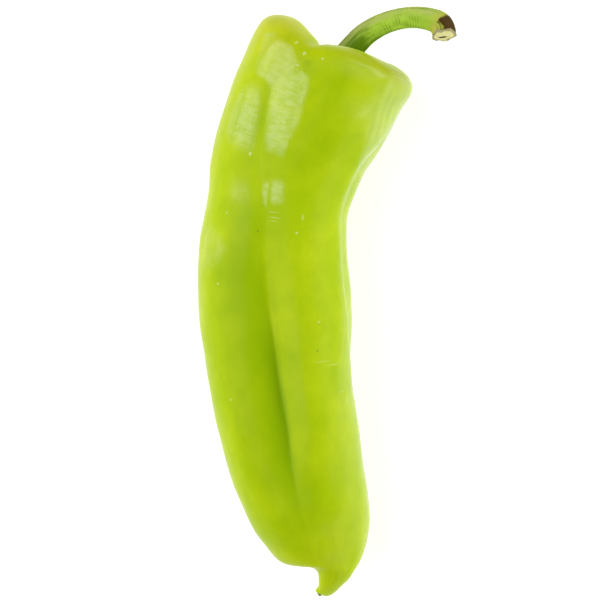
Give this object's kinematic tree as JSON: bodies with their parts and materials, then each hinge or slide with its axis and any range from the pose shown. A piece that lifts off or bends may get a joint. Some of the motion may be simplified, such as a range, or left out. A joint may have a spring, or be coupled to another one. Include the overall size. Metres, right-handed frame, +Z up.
{
  "type": "cubanelle pepper",
  "caption": "Long bent cubanelle pepper lying on its side, with soft lobes, a sunken stem end, a leafy calyx, a curved cut stem and a nipped blossom tip.",
  "frame": {"origin": "on the table, under the middle of the bounding box", "axes": "+Z up, +Y from the blossom tip to the stem end, +X towards the side the stem bends to"},
  "size_m": [0.0748, 0.1708, 0.0438],
  "materials": {
    "skin": "waxy pale yellow-green plant skin with soft highlights",
    "calyx": "matt mid-green leafy tissue",
    "stem": "fibrous green stalk with a pale, dry cut face"
  },
  "bodies": {
    "root": {"fruit": "skin", "calyx": "calyx", "stem": "stem"}
  },
  "joints": []
}
